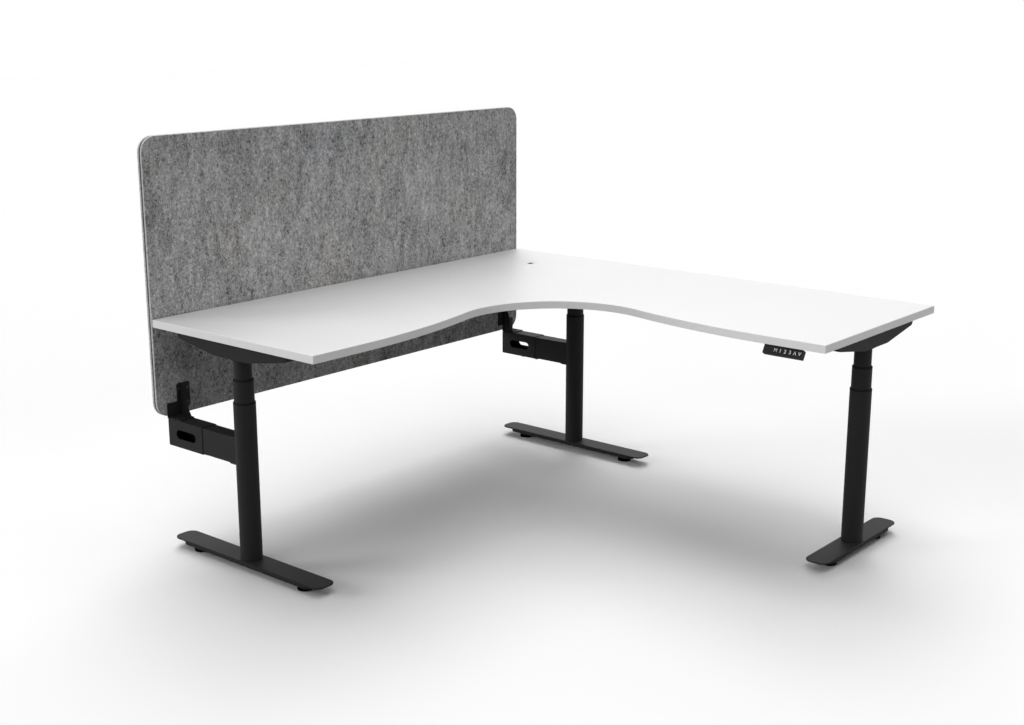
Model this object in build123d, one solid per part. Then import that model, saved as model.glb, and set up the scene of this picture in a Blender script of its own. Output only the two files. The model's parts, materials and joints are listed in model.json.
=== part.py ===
from build123d import *
import math
import os

# Corner workstation: an L-shaped worktop on three telescopic columns, with a felt screen
# behind its back wing. Millimetres. X runs along the back wing towards the corner, Y runs
# towards the screen, Z is up. The origin is on the floor under the middle of the whole.

# Worktop
desk_height = 770.0
wing_length = 1800.0
wing_depth = 750.0
top_thickness = 25.0
edge_band_thickness = 2.0
straight_front_length = 201.6
corner_centre_offset = 250.0
corner_curve_radius = 325.0

# Cable grommet in the corner of the worktop
grommet_from_edges = 236.0
grommet_hole_diameter = 80.0
grommet_flange_diameter = 96.0
grommet_flange_height = 2.5
grommet_cap_diameter = 76.0
grommet_cap_thickness = 4.0
grommet_ledge_width = 4.0
grommet_ledge_thickness = 2.0
grommet_wall = 2.0
grommet_barrel_length = 30.0
cable_notch_width = 24.0
cable_notch_depth = 20.0
grommet_clearance = 0.4

# Where the three columns stand, measured in from the worktop's edges
end_leg_inset = 70.0
corner_leg_inset = 60.0
back_leg_inset = 350.0
side_bracket_inset = 105.0
bracket_front_inset = 135.0

# Feet
long_foot_length = 700.0
short_foot_length = 508.0
foot_width = 80.0
foot_corner_radius = 28.0
foot_plate_thickness = 5.0
foot_clearance = 20.0
skirt_height = 11.0
skirt_setback = 2.0
skirt_end_setback = 43.0
skirt_wall = 4.0
nut_boss_diameter = 22.0

# Levelling feet
leveller_inset = 100.0
pad_diameter = 50.0
pad_height = 9.0
pad_edge = 1.5
hex_width = 22.0
hex_height = 5.0
stem_diameter = 8.0
stem_engagement = 8.0
leveller_travel_in = 5.0
stem_end_clearance = 0.5

# Columns, from the outermost tube to the innermost
outer_tube_diameter = 70.0
outer_tube_wall = 1.8
middle_tube_diameter = 64.0
middle_tube_wall = 2.0
middle_exposed = 73.0
inner_tube_diameter = 56.0
inner_tube_wall = 2.0
inner_exposed = 67.0
collar_height = 6.0
collar_skirt_length = 20.0
collar_edge = 1.5
guide_ring_height = 6.0
bush_height = 8.0
base_disc_thickness = 8.0
base_disc_bore = 30.0
base_bolt_circle = 50.0
base_bolt_count = 4
lower_travel = 120.0
carrier_end_gap = 3.0
spindle_end_gap = 4.0

# Lifting screws, their nuts and motors
upper_spindle_diameter = 16.0
spindle_neck_diameter = 12.0
spindle_neck_length = 20.0
hollow_spindle_diameter = 26.0
hollow_spindle_wall = 4.4
thrust_collar_diameter = 40.0
thrust_collar_thickness = 7.0
carrier_diameter = 46.0
carrier_wall = 2.0
carrier_nut_height = 24.0
shelf_width = 2.4
shelf_thickness = 2.0
post_diameter = 36.0
post_wall = 4.0
post_nut_height = 22.0
spindle_engagement = 28.0
post_gap = 3.4
motor_length = 189.0
gearbox_length = 60.0
gearbox_diameter = 49.0
motor_diameter = 46.0
motor_flange_thickness = 4.0
motor_top_gap = 3.0
motor_gap = 16.0

# Brackets under the worktop
bracket_width = 90.0
bracket_depth = 54.0
bracket_tip_depth = 24.0
bracket_tip_radius = 10.0
bracket_flat_length = 156.0
bracket_wall = 3.0
hub_diameter = 72.0
hub_height = 6.0
motor_hole_diameter = 60.0
bracket_screw_across = 60.0
bracket_inner_screw_spacing = 200.0
bracket_screw_end_inset = 35.0

# Rails between the brackets
rail_width = 50.0
rail_height = 30.0
rail_wall = 2.0
flange_width = 90.0
flange_height = 46.0
flange_drop = 1.0
flange_thickness = 3.0
rail_bolt_spacing = 66.0
rail_bolt_drop = 16.0

# Control box under the back wing
control_length = 260.0
control_width = 120.0
control_height = 38.0
control_wall = 2.5
socket_block_depth = 18.0
socket_depth = 12.0
mains_socket_width = 28.0
mains_socket_height = 20.0
small_socket_width = 13.0
small_socket_height = 11.0
small_socket_count = 4
socket_pitch = 34.0
board_post_diameter = 7.0
board_post_height = 6.0
board_post_inset = 12.0
board_thickness = 1.6
board_margin = 0.3
capacitor_diameter = 22.0
capacitor_height = 20.0
capacitor_pitch = 26.0
capacitor_count = 3
control_lug_length = 18.0
control_lug_width = 30.0
control_lug_thickness = 4.0
control_from_end = 820.0
control_from_back = 190.0

# Handset under the front edge of the side wing
handset_length = 131.5
handset_height = 28.5
handset_depth = 17.5
handset_tilt = 29.0
handset_corner_radius = 1.5
handset_setback = 5.0
handset_drop = 0.8
handset_from_end = 139.5
handset_wall = 2.5
handset_neck_setback = 3.0
handset_neck_depth = 11.0
handset_neck_height = 9.5
handset_neck_length = 92.0
handset_tab_depth = 42.0
handset_tab_thickness = 4.0
handset_cover_thickness = 1.5
handset_cover_lip = 1.0
handset_cover_gap = 0.2
handset_ledge = 1.5
handset_board_behind_face = 5.0
button_width = 12.0
button_height = 17.0
button_corner_radius = 2.0
button_thickness = 4.0
button_proud = 0.4
button_travel = 0.8
button_clearance = 0.25
button_pitch = 16.2
first_button_from_end = 41.5
button_names = ("memory", "one", "two", "three", "up", "down")

# Screen and the arms that carry it
screen_height = 900.0
screen_drop = 327.0
screen_corner_radius = 50.0
sheet_thickness = 8.0
core_thickness = 6.0
core_inset = 2.0
screen_gap = 3.0
sleeve_width = 60.0
sleeve_height = 91.0
sleeve_wall = 1.7
sleeve_length = 171.0
sleeve_end_thickness = 2.0
sleeve_drop = 332.5
sleeve_slot_length = 98.0
sleeve_slot_height = 30.0
sleeve_slot_from_end = 40.0
arm_wall = 2.5
arm_end_gap = 18.0
arm_slot_length = 122.0
arm_slot_height = 40.0
arm_saddle_length = 12.0
set_screw_boss_diameter = 16.0
set_screw_boss_height = 8.0
set_screw_spacing = 70.0
set_screw_from_end = 88.0
plate_thickness = 3.0
plate_height = 107.5
plate_step_height = 48.5
plate_step_left = 32.0
plate_step_right = 9.0
plate_right = 59.0
plate_notch_height = 27.5
plate_corner_cut = 4.0
gusset_place = 22.0
gusset_depth = 51.0
gusset_tip_depth = 4.0
gusset_edge_shares = ((0.76, 0.23), (0.69, 0.465), (0.45, 0.763))
bracket_foot_depth = 60.0
bracket_foot_side_gap = 2.0
foot_bolt_columns = (-16.0, 8.0)
foot_bolt_from_plate = 30.0
plate_screw_rows = (41.5, 89.5)
plate_screw_columns = (15.5, 48.0)

# Screws and bolts
wood_screw_diameter = 4.8
wood_screw_head_diameter = 10.0
wood_screw_head_height = 3.0
wood_screw_bite = 16.0
base_bolt_diameter = 8.0
base_bolt_head_diameter = 13.0
base_bolt_head_height = 4.5
rail_bolt_diameter = 6.0
rail_bolt_head_diameter = 11.0
rail_bolt_head_height = 3.3
rail_nut_diameter = 11.0
rail_nut_height = 4.5
screen_screw_diameter = 5.0
screen_screw_head_diameter = 9.0
screen_screw_head_height = 2.4

# Clearances
weld_gap = 0.05
running_clearance = 0.1
slide_clearance = 0.3
set_screw_gap = 0.1
cut_overrun = 1.0

# Levels worked out from the sizes above
underside = desk_height - top_thickness
bracket_low = underside - bracket_depth
hub_low = bracket_low - hub_height
skirt_top = foot_clearance + skirt_height
foot_top = skirt_top + foot_plate_thickness
base_disc_top = foot_top + base_disc_thickness
stage_drop = lower_travel / 2
outer_tube_length = hub_low - inner_exposed - middle_exposed - foot_top
outer_top = foot_top + outer_tube_length
middle_low = base_disc_top + carrier_end_gap + guide_ring_height + stage_drop
middle_tube_length = outer_top + middle_exposed - middle_low
middle_top = middle_low + middle_tube_length
inner_low = middle_low + stage_drop + bush_height + guide_ring_height
web_low = underside - bracket_wall
motor_top = web_low - motor_top_gap
inner_top = motor_top - motor_flange_thickness
gearbox_low = inner_top - motor_length
carrier_top = gearbox_low - stage_drop - motor_gap
carrier_nut_low = carrier_top - carrier_nut_height
thrust_top = carrier_nut_low - slide_clearance
thrust_low = thrust_top - thrust_collar_thickness
shelf_top = thrust_low - slide_clearance
shelf_low = shelf_top - shelf_thickness
post_top = shelf_low - stage_drop - post_gap
post_nut_low = post_top - post_nut_height
hollow_low = foot_top + stage_drop + spindle_end_gap
raise_travel = 2 * (post_nut_low - hollow_low - cut_overrun)
stage_rise = raise_travel / 2
upper_low = carrier_nut_low - stage_rise - spindle_engagement
sleeve_top = desk_height - sleeve_drop
sleeve_low = sleeve_top - sleeve_height
sleeve_mid = sleeve_low + sleeve_height / 2
arm_width = sleeve_width - 2 * (sleeve_wall + slide_clearance)
arm_height = sleeve_height - 2 * (sleeve_wall + slide_clearance)

# The worktop's front edge, worked out from the sizes above
curve_centre_distance = wing_depth + corner_centre_offset
waist_run = wing_length - straight_front_length - curve_centre_distance
waist_curve_radius = (
    (waist_run**2 + corner_centre_offset**2 - corner_curve_radius**2)
    / (2 * (corner_curve_radius - corner_centre_offset)))
diagonal_share = math.sqrt(0.5)

# The brackets reach across the side wing
bracket_length = wing_depth - side_bracket_inset - bracket_front_inset
bracket_screw_spacings = (
    bracket_inner_screw_spacing, bracket_length - 2 * bracket_screw_end_inset)

# Places worked out from the sizes above
screen_width = wing_length
screen_rise = screen_height - screen_drop
screen_thickness = 2 * sheet_thickness + core_thickness
corner_x = wing_length / 2
back_y = (wing_length - screen_gap - screen_thickness) / 2
screen_front = back_y + screen_gap
wing_end_x = corner_x - wing_length
wing_end_y = back_y - wing_length
side_leg_inset = side_bracket_inset + bracket_length / 2
column_places = {
    "left": (wing_end_x + end_leg_inset, back_y - back_leg_inset, 0),
    "corner": (corner_x - corner_leg_inset, back_y - back_leg_inset, 0),
    "right": (corner_x - side_leg_inset, wing_end_y + end_leg_inset, 90),
}
foot_lengths = {"left": long_foot_length, "corner": long_foot_length, "right": short_foot_length}
arm_sides = {"left": 1, "corner": -1}
leveller_ends = {
    "left_back": ("left", 1),
    "left_front": ("left", -1),
    "corner_back": ("corner", 1),
    "corner_front": ("corner", -1),
    "right_inner": ("right", 1),
    "right_outer": ("right", -1),
}
from_below = (Align.CENTER, Align.CENTER, Align.MIN)


# Simple forms

def disc(diameter, low, high):
    return Pos(0, 0, low) * Cylinder(diameter / 2, high - low, align=from_below)


def ring(outside, inside, low, high):
    return disc(outside, low, high) - disc(inside, low - cut_overrun, high + cut_overrun)


def through_hole(screw_diameter, low, high):
    return disc(screw_diameter + 2 * weld_gap, low - cut_overrun, high + cut_overrun)


def block(low_corner, high_corner):
    size = [high - low for low, high in zip(low_corner, high_corner)]
    middle = [(high + low) / 2 for low, high in zip(low_corner, high_corner)]
    return Pos(*middle) * Box(*size)


def upright(sketch, front, back):
    return Pos(0, back, 0) * Rot(90, 0, 0) * extrude(sketch, back - front, dir=(0, 0, 1))


def sideways(sketch, left, right):
    solid = extrude(sketch, right - left, dir=(0, 0, 1))
    return Pos(left, 0, 0) * Rot(0, 90, 0) * Rot(0, 0, 90) * solid


def box_tube(width, height, wall, front, back, middle):
    outside = upright(Pos(0, middle) * Rectangle(width, height), front, back)
    hollow = Pos(0, middle) * Rectangle(width - 2 * wall, height - 2 * wall)
    return outside - upright(hollow, front - cut_overrun, back + cut_overrun)


def standing(name):
    x, y, turn = column_places[name]
    return Location((x, y, 0), (0, 0, turn))


def facing(point, across, along):
    return Plane(origin=point, x_dir=(-along, across, 0), z_dir=(across, along, 0)).location


def bolt_down(diameter, head_diameter, head_height, seat, tip):
    return disc(head_diameter, seat - head_height, seat) + disc(diameter, seat, tip)


# Worktop

def worktop_outline(inset):
    depth = wing_depth - inset
    waist = waist_curve_radius - inset
    corner = corner_curve_radius + inset
    rise = curve_centre_distance - wing_depth + waist_curve_radius
    reach = corner_curve_radius + waist_curve_radius
    run = math.sqrt(reach**2 - rise**2)
    waist_start = curve_centre_distance + run
    waist_end = (waist_start - run * waist / reach, depth - waist + rise * waist / reach)
    half_turn = math.asin(run / reach) / 2
    waist_middle = (
        waist_start - waist * math.sin(half_turn),
        depth - waist + waist * math.cos(half_turn),
    )
    bottom = curve_centre_distance - corner * diagonal_share
    end = wing_length - inset

    def back_wing(along, across):
        return (corner_x - along, back_y - across)

    def side_wing(along, across):
        return (corner_x - across, back_y - along)

    edges = [
        Line(back_wing(inset, inset), back_wing(end, inset)),
        Line(back_wing(end, inset), back_wing(end, depth)),
        Line(back_wing(end, depth), back_wing(waist_start, depth)),
        ThreePointArc(back_wing(waist_start, depth), back_wing(*waist_middle), back_wing(*waist_end)),
        ThreePointArc(back_wing(*waist_end), back_wing(bottom, bottom), side_wing(*waist_end)),
        ThreePointArc(side_wing(*waist_end), side_wing(*waist_middle), side_wing(waist_start, depth)),
        Line(side_wing(waist_start, depth), side_wing(end, depth)),
        Line(side_wing(end, depth), side_wing(end, inset)),
        Line(side_wing(end, inset), side_wing(inset, inset)),
    ]
    return make_face(edges)


def top_slab(inset):
    return Pos(0, 0, underside) * extrude(worktop_outline(inset), top_thickness, dir=(0, 0, 1))


def wood_screw_hole():
    top = underside + wood_screw_bite + weld_gap
    return disc(wood_screw_diameter + 2 * weld_gap, underside - cut_overrun, top)


def bracket_screw_places():
    rows = [side * spacing / 2 for spacing in bracket_screw_spacings for side in (-1, 1)]
    return [(side * bracket_screw_across / 2, row) for row in rows for side in (-1, 1)]


def top_screw_locations():
    places = [standing(name) * Pos(x, y, 0) for name in column_places for x, y in bracket_screw_places()]
    places += [Pos(x, y, 0) for x, y in handset_screw_places()]
    places += [Pos(x, y, 0) for x, y in control_screw_places()]
    return places


def worktop():
    board = top_slab(edge_band_thickness)
    hole = disc(grommet_hole_diameter, underside - cut_overrun, desk_height + cut_overrun)
    rebate_low = desk_height - grommet_flange_height
    hole += disc(grommet_flange_diameter + 2 * grommet_clearance, rebate_low, desk_height + cut_overrun)
    board -= grommet_place() * hole
    for place in top_screw_locations():
        board -= place * wood_screw_hole()
    return board


def edge_band():
    return top_slab(0) - top_slab(edge_band_thickness)


# Grommet

def grommet_place():
    return Pos(corner_x - grommet_from_edges, back_y - grommet_from_edges, 0)


def grommet_liner():
    flange_low = desk_height - grommet_flange_height
    barrel_low = desk_height - grommet_barrel_length
    barrel = grommet_hole_diameter - 2 * slide_clearance
    recess = grommet_cap_diameter + 2 * grommet_clearance
    recess_low = desk_height - grommet_cap_thickness - running_clearance
    ledge_low = recess_low - grommet_ledge_thickness
    liner = disc(grommet_flange_diameter, flange_low, desk_height) + disc(barrel, barrel_low, flange_low)
    liner -= disc(recess, recess_low, desk_height + cut_overrun)
    liner -= disc(recess - 2 * grommet_ledge_width, ledge_low - cut_overrun, desk_height)
    liner -= disc(barrel - 2 * grommet_wall, barrel_low - cut_overrun, ledge_low)
    return grommet_place() * liner


def grommet_cap():
    cap_low = desk_height - grommet_cap_thickness
    cap = disc(grommet_cap_diameter, cap_low, desk_height)
    rim = -grommet_cap_diameter / 2
    bend = rim + cable_notch_depth - cable_notch_width / 2
    low = cap_low - cut_overrun
    top = desk_height + cut_overrun
    cap -= Pos(0, bend, 0) * disc(cable_notch_width, low, top)
    half = cable_notch_width / 2
    cap -= block((-half, rim - cut_overrun, low), (half, bend, top))
    return grommet_place() * cap


# Feet

def foot(name):
    length = foot_lengths[name]
    plate = Pos(0, 0, skirt_top) * extrude(
        RectangleRounded(foot_width, length, foot_corner_radius), foot_plate_thickness)
    width = foot_width - 2 * skirt_setback
    run = length - 2 * skirt_end_setback
    radius = foot_corner_radius - skirt_setback
    recess = RectangleRounded(width - 2 * skirt_wall, run - 2 * skirt_wall, radius - skirt_wall)
    skirt = RectangleRounded(width, run, radius) - recess
    body = plate + Pos(0, 0, foot_clearance) * extrude(skirt, skirt_height)
    stem_top = foot_clearance + stem_engagement
    hole_top = stem_top + leveller_travel_in + stem_end_clearance
    for side in (-1, 1):
        place = Pos(0, side * (length / 2 - leveller_inset), 0)
        body += place * disc(nut_boss_diameter, foot_clearance, skirt_top)
        body -= place * disc(stem_diameter + 2 * running_clearance, foot_clearance - cut_overrun, hole_top)
    for place in base_bolt_places():
        body -= place * through_hole(base_bolt_diameter, skirt_top, foot_top)
    return standing(name) * body


def leveller_location(end):
    name, side = leveller_ends[end]
    return standing(name) * Pos(0, side * (foot_lengths[name] / 2 - leveller_inset), 0)


def leveller():
    pad = disc(pad_diameter, 0, pad_height)
    pad = chamfer(pad.edges().group_by(Axis.Z)[-1], pad_edge)
    hexagon = RegularPolygon(hex_width / 2, 6, major_radius=False)
    pad += Pos(0, 0, pad_height) * extrude(hexagon, hex_height)
    return pad + disc(stem_diameter, pad_height + hex_height, foot_clearance + stem_engagement)


# Columns

def base_bolt_places():
    return list(PolarLocations(base_bolt_circle / 2, base_bolt_count, start_angle=45))


def outer_tube():
    wall_inside = outer_tube_diameter - 2 * outer_tube_wall
    tube = ring(outer_tube_diameter, wall_inside, foot_top, outer_top)
    tube += ring(wall_inside + outer_tube_wall, base_disc_bore, foot_top, base_disc_top)
    for place in base_bolt_places():
        tube -= place * through_hole(base_bolt_diameter, foot_top, base_disc_top)
    return tube


def collar(outside, wall, slider, low):
    bore = slider + 2 * slide_clearance
    cap = disc(outside, low, low + collar_height)
    cap = chamfer(cap.edges().group_by(Axis.Z)[-1], collar_edge)
    skirt = disc(outside - 2 * wall - 2 * weld_gap, low - collar_skirt_length, low)
    low_end = low - collar_skirt_length - cut_overrun
    return cap + skirt - disc(bore, low_end, low + collar_height + cut_overrun)


def middle_tube():
    return ring(middle_tube_diameter, middle_tube_diameter - 2 * middle_tube_wall, middle_low, middle_top)


def nut_carrier():
    guide = outer_tube_diameter - 2 * outer_tube_wall - 2 * slide_clearance
    bore = carrier_diameter - 2 * carrier_wall
    low = middle_low - guide_ring_height
    carrier = ring(guide, bore, low, middle_low) + ring(carrier_diameter, bore, low, carrier_top)
    nut_bore = upper_spindle_diameter + 2 * running_clearance
    carrier += ring(carrier_diameter, nut_bore, carrier_nut_low, carrier_top)
    return carrier + ring(bore + carrier_wall, bore - 2 * shelf_width, shelf_low, shelf_top)


def middle_guides():
    return [collar(middle_tube_diameter, middle_tube_wall, inner_tube_diameter, middle_top), nut_carrier()]


def spindle_post():
    bore = hollow_spindle_diameter + 2 * running_clearance
    post = ring(post_diameter, post_diameter - 2 * post_wall, base_disc_top, post_nut_low)
    return post + ring(post_diameter, bore, post_nut_low, post_top)


def hollow_spindle():
    bore = hollow_spindle_diameter - 2 * hollow_spindle_wall
    spindle = ring(hollow_spindle_diameter, bore, hollow_low, thrust_top)
    return spindle + ring(thrust_collar_diameter, bore, thrust_low, thrust_top)


def upper_spindle():
    shoulder = gearbox_low - slide_clearance
    screw = disc(upper_spindle_diameter, upper_low, shoulder)
    return screw + disc(spindle_neck_diameter, shoulder, shoulder + spindle_neck_length)


def inner_tube():
    return ring(inner_tube_diameter, inner_tube_diameter - 2 * inner_tube_wall, inner_low, inner_top)


def inner_bush():
    outside = middle_tube_diameter - 2 * middle_tube_wall - 2 * slide_clearance
    return ring(outside, inner_tube_diameter - 2 * inner_tube_wall, inner_low - bush_height, inner_low)


def drive_motor():
    motor = disc(gearbox_diameter, gearbox_low, gearbox_low + gearbox_length)
    motor += disc(motor_diameter, gearbox_low + gearbox_length, inner_top)
    motor += disc(inner_tube_diameter, inner_top, motor_top)
    bore = spindle_neck_diameter + 2 * running_clearance
    return motor - disc(bore, gearbox_low - cut_overrun, gearbox_low + spindle_neck_length)


# Brackets and rails under the worktop

def bracket_profile():
    half = bracket_length / 2
    flat = bracket_flat_length / 2
    tip = underside - bracket_tip_depth
    profile = Polygon(
        (-half, underside), (half, underside), (half, tip),
        (flat, bracket_low), (-flat, bracket_low), (-half, tip), align=None)
    corners = [v for v in profile.vertices() if abs(abs(v.X) - half) < weld_gap and v.Y < web_low]
    return fillet(corners, bracket_tip_radius)


def top_bracket():
    half = bracket_length / 2 - bracket_wall
    flat = bracket_flat_length / 2
    side = bracket_width / 2
    below = bracket_low - cut_overrun
    beam = sideways(bracket_profile(), -side, side)
    hollow = Polygon(
        (-half, web_low), (half, web_low), (half, below), (flat, below), (flat, bracket_low + bracket_wall),
        (-flat, bracket_low + bracket_wall), (-flat, below), (-half, below), align=None)
    beam -= sideways(hollow, bracket_wall - side, side - bracket_wall)
    beam += disc(hub_diameter, hub_low, bracket_low)
    beam -= disc(inner_tube_diameter + 2 * weld_gap, hub_low - cut_overrun, web_low - bracket_wall)
    beam -= disc(motor_hole_diameter, web_low - cut_overrun, underside + cut_overrun)
    for x, y in bracket_screw_places():
        beam -= Pos(x, y, 0) * through_hole(wood_screw_diameter, web_low, underside)
    return beam


def placed_bracket(name):
    bracket = standing(name) * top_bracket()
    for hole in rail_bolt_holes():
        bracket -= hole
    return bracket


def rail_ends():
    left_x, back_row, _ = column_places["left"]
    side_x, side_row, _ = column_places["right"]
    wall = bracket_width / 2
    return {
        "left": facing((left_x + wall, back_row, underside), -1, 0),
        "corner": facing((column_places["corner"][0] - wall, back_row, underside), 1, 0),
        "joint": facing((side_x, back_row - rail_width / 2, underside), 0, 1),
        "right": facing((side_x, side_row + wall, underside), 0, -1),
    }


def rail_bolt_places(end):
    offsets = (-rail_bolt_spacing / 2, rail_bolt_spacing / 2)
    return [rail_ends()[end] * Pos(offset, -rail_bolt_drop, 0) for offset in offsets]


def rail_bolt_holes():
    hole = through_hole(rail_bolt_diameter, -flange_thickness, bracket_wall)
    return [place * hole for end in rail_ends() for place in rail_bolt_places(end)]


def end_flange(height):
    plate = extrude(Rectangle(flange_width, height), flange_thickness)
    return Pos(0, -flange_drop - height / 2, -flange_thickness) * plate


def rail(start, stop, start_height, stop_height):
    length = (stop.position - start.position).length
    tube = extrude(Rectangle(rail_width, rail_height), length - 2 * flange_thickness)
    tube -= extrude(Rectangle(rail_width - 2 * rail_wall, rail_height - 2 * rail_wall), length)
    beam = stop * Pos(0, -rail_height / 2, flange_thickness - length) * tube
    beam += start * end_flange(start_height)
    beam += stop * end_flange(stop_height)
    for hole in rail_bolt_holes():
        beam -= hole
    return beam


def back_rail():
    ends = rail_ends()
    return rail(ends["left"], ends["corner"], flange_height, flange_height)


def side_rail():
    ends = rail_ends()
    return rail(ends["joint"], ends["right"], rail_height - flange_drop, flange_height)


def rail_bolt():
    bolt = disc(rail_bolt_head_diameter, -flange_thickness - rail_bolt_head_height, -flange_thickness)
    return bolt + disc(rail_bolt_diameter, -flange_thickness, bracket_wall + rail_nut_height)


def rail_nut(wall):
    nut = extrude(RegularPolygon(rail_nut_diameter / 2, 6), rail_nut_height)
    return Pos(0, 0, wall) * (nut - through_hole(rail_bolt_diameter, 0, rail_nut_height))


# Control box

def control_centre():
    return (wing_end_x + control_from_end, back_y - control_from_back)


def control_screw_places():
    x, y = control_centre()
    reach = control_length / 2 + control_lug_length / 2
    return [(x - reach, y), (x + reach, y)]


def socket(width, height, middle_x):
    level = underside - control_height / 2
    front = -control_width / 2
    return block(
        (middle_x - width / 2, front - cut_overrun, level - height / 2),
        (middle_x + width / 2, front + socket_depth, level + height / 2))


def sockets():
    first = -socket_pitch * small_socket_count / 2
    holes = [socket(mains_socket_width, mains_socket_height, first)]
    for index in range(small_socket_count):
        holes.append(socket(small_socket_width, small_socket_height, first + (index + 1) * socket_pitch))
    return holes


def control_inside():
    half_length = control_length / 2 - control_wall
    front = socket_block_depth - control_width / 2
    return (-half_length, front, half_length, control_width / 2 - control_wall)


def board_posts():
    left, front, right, back = control_inside()
    inset = board_post_inset
    low = underside - control_height + control_wall
    post = disc(board_post_diameter, low, low + board_post_height)
    rows = (front + inset, back - inset)
    return [Pos(x, y, 0) * post for x in (left + inset, right - inset) for y in rows]


def control_lug(side):
    half_length = control_length / 2
    ends = sorted((side * half_length, side * (half_length + control_lug_length)))
    return block(
        (ends[0], -control_lug_width / 2, underside - control_lug_thickness),
        (ends[1], control_lug_width / 2, underside))


def control_box():
    low = underside - control_height
    half_length = control_length / 2
    half_width = control_width / 2
    left, front, right, back = control_inside()
    case = block((-half_length, -half_width, low), (half_length, half_width, underside))
    case -= block((left, front, low + control_wall), (right, back, underside + cut_overrun))
    for hole in sockets():
        case -= hole
    for post in board_posts():
        case += post
    for side in (-1, 1):
        case += control_lug(side)
    case = Pos(*control_centre(), 0) * case
    lug_low = underside - control_lug_thickness
    for x, y in control_screw_places():
        case -= Pos(x, y, 0) * through_hole(wood_screw_diameter, lug_low, underside)
    return case


def control_board():
    left, front, right, back = control_inside()
    low = underside - control_height + control_wall + board_post_height
    gap = board_margin
    board = block((left + gap, front + gap, low), (right - gap, back - gap, low + board_thickness))
    for index in range(capacitor_count):
        x = left + board_post_inset + capacitor_diameter / 2 + index * capacitor_pitch
        top = low + board_thickness + capacitor_height
        board += Pos(x, (front + back) / 2, 0) * disc(capacitor_diameter, low, top)
    return Pos(*control_centre(), 0) * board


# Handset

def handset_place():
    return (corner_x - wing_depth + handset_setback, wing_end_y + handset_from_end)


def handset_screw_places():
    x, y = handset_place()
    neck_end = handset_neck_setback + handset_neck_depth
    row = x + (neck_end + handset_tab_depth) / 2
    reach = (handset_neck_length - handset_tab_depth + neck_end) / 2
    return [(row, y - reach), (row, y + reach)]


def handset_face():
    x, y = handset_place()
    ahead = math.sin(math.radians(handset_tilt))
    down = math.cos(math.radians(handset_tilt))
    centre = (x - ahead * handset_height / 2, y, underside - handset_drop - down * handset_height / 2)
    return Plane(origin=centre, x_dir=(0, -1, 0), z_dir=(-down, 0, ahead)).location


def button_offsets():
    first = first_button_from_end - handset_length / 2
    return {name: first + index * button_pitch for index, name in enumerate(button_names)}


def handset_outline(end_inset, edge_inset):
    return Rectangle(handset_length - 2 * end_inset, handset_height - 2 * edge_inset)


def behind_face(outline, shallow, deep):
    return handset_face() * Pos(0, 0, -deep) * extrude(outline, deep - shallow)


# The board lies on two ledges, and the cover closes the back behind it
def handset_hollow():
    inner = handset_outline(handset_wall, handset_wall)
    between_ledges = handset_outline(handset_wall, handset_wall + handset_ledge)
    rebate = handset_outline(handset_cover_lip, handset_cover_lip)
    out = handset_depth + cut_overrun
    hollow = behind_face(between_ledges, handset_wall, handset_board_behind_face)
    hollow += behind_face(inner, handset_board_behind_face, out)
    return hollow + behind_face(rebate, handset_depth - handset_cover_thickness, out)


def handset_neck():
    x, y = handset_place()
    front, near = x + handset_neck_setback, y - handset_neck_length / 2
    neck_end, far = front + handset_neck_depth, y + handset_neck_length / 2
    neck = block((front, near, underside - handset_neck_height), (neck_end, far, underside))
    tab_end = x + handset_tab_depth
    return neck + block((front, near, underside - handset_tab_thickness), (tab_end, far, underside))


def handset_case():
    outline = RectangleRounded(handset_length, handset_height, handset_corner_radius)
    body = behind_face(outline, 0, handset_depth) + handset_neck() - handset_hollow()
    opening = RectangleRounded(
        button_width + 2 * button_clearance, button_height + 2 * button_clearance,
        button_corner_radius + button_clearance)
    cutter = Pos(0, 0, -handset_wall - cut_overrun) * extrude(opening, handset_wall + 2 * cut_overrun)
    for along in button_offsets().values():
        body -= handset_face() * Pos(along, 0, 0) * cutter
    for x, y in handset_screw_places():
        body -= Pos(x, y, 0) * through_hole(wood_screw_diameter, underside - handset_tab_thickness, underside)
    return body


def handset_cover():
    inset = handset_cover_lip + handset_cover_gap
    return behind_face(
        handset_outline(inset, inset), handset_depth - handset_cover_thickness, handset_depth)


def handset_board():
    inset = handset_wall + board_margin
    back = handset_board_behind_face + board_thickness
    return behind_face(handset_outline(inset, inset), handset_board_behind_face, back)


def handset_button(name):
    cap = extrude(RectangleRounded(button_width, button_height, button_corner_radius), button_thickness)
    return handset_face() * Pos(button_offsets()[name], 0, button_proud - button_thickness) * cap


# Screen

def screen_panel(front, thickness, inset):
    outline = RectangleRounded(
        screen_width - 2 * inset, screen_height - 2 * inset, screen_corner_radius - inset)
    middle = desk_height + screen_rise - screen_height / 2
    panel = upright(Pos(corner_x - screen_width / 2, middle) * outline, front, front + thickness)
    for name in arm_sides:
        for place in plate_screw_locations(name):
            panel -= place * screen_screw_hole()
    return panel


def front_felt():
    return screen_panel(screen_front, sheet_thickness, 0)


def screen_core():
    return screen_panel(screen_front + sheet_thickness, core_thickness, core_inset)


def back_felt():
    return screen_panel(screen_front + sheet_thickness + core_thickness, sheet_thickness, 0)


def plate_screw_locations(name):
    x = column_places[name][0]
    side = arm_sides[name]
    return [
        Location((x + side * column, screen_front, sleeve_top + row), (-90, 0, 0))
        for column in plate_screw_columns for row in plate_screw_rows]


def screen_screw_hole():
    depth = sheet_thickness + core_thickness
    return disc(screen_screw_diameter + 2 * weld_gap, -plate_thickness - cut_overrun, depth)


def screen_screw():
    seat = -plate_thickness
    tip = sheet_thickness + core_thickness - weld_gap
    return bolt_down(screen_screw_diameter, screen_screw_head_diameter, screen_screw_head_height, seat, tip)


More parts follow.
